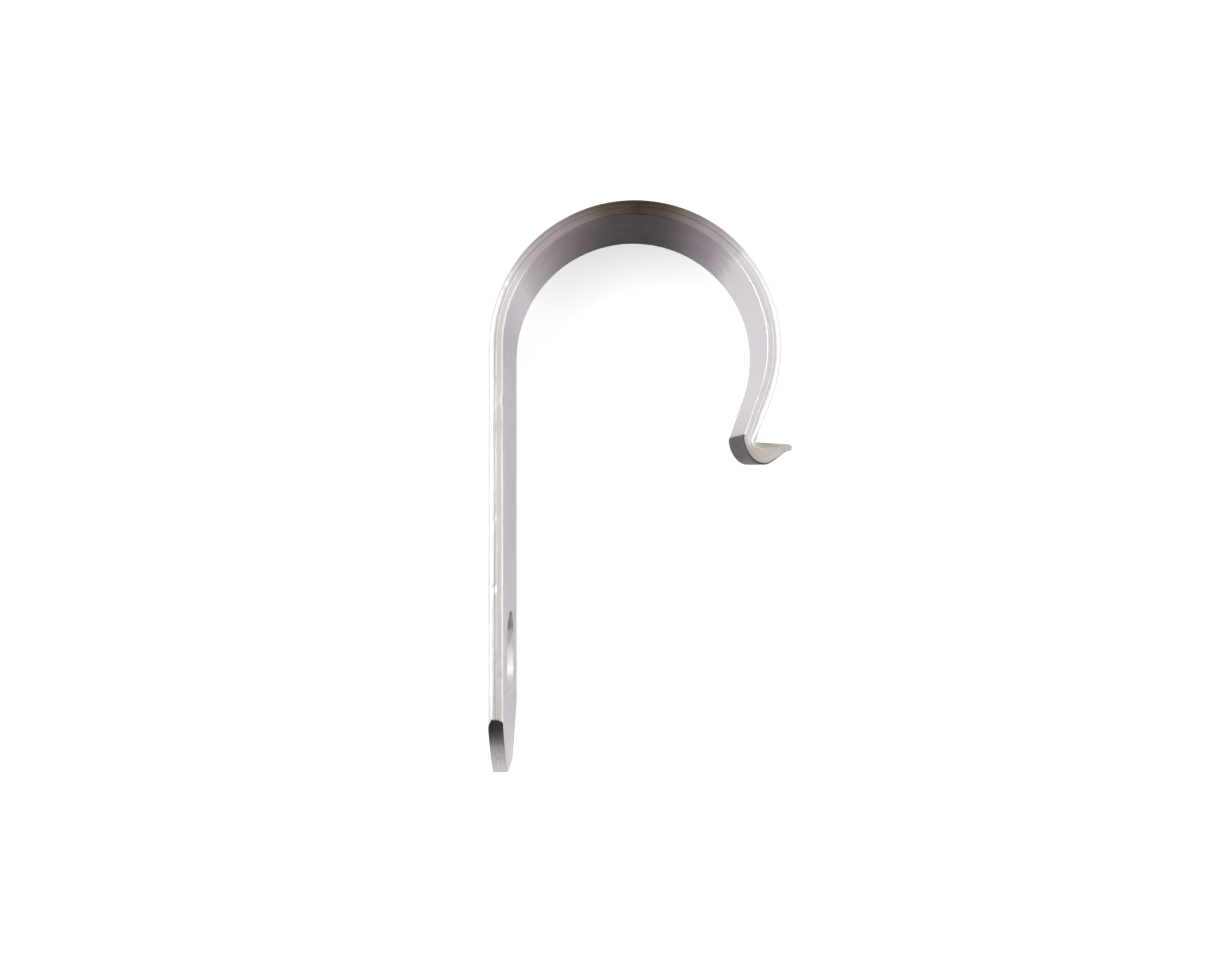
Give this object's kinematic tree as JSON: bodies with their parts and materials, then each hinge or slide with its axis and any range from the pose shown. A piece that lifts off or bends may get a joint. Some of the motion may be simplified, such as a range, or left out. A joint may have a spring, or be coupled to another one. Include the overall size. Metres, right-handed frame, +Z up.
{
  "type": "flat strip crook hook",
  "caption": "Hook formed from one flat metal strip: straight leg with a slotted, narrowed end, a round crook open at the foot, and a short toe folded outward.",
  "frame": {"origin": "middle of the hook's box, on the surface that it lies on", "axes": "+X from the leg towards the toe, +Y from the leg's tip towards the crook, +Z up, across the strip's width"},
  "size_m": [0.06, 0.1138, 0.025],
  "materials": {
    "strip_metal": "satin nickel-grey, worn smooth on the edges"
  },
  "bodies": {
    "root": {"bent_strip": "strip_metal"}
  },
  "joints": []
}
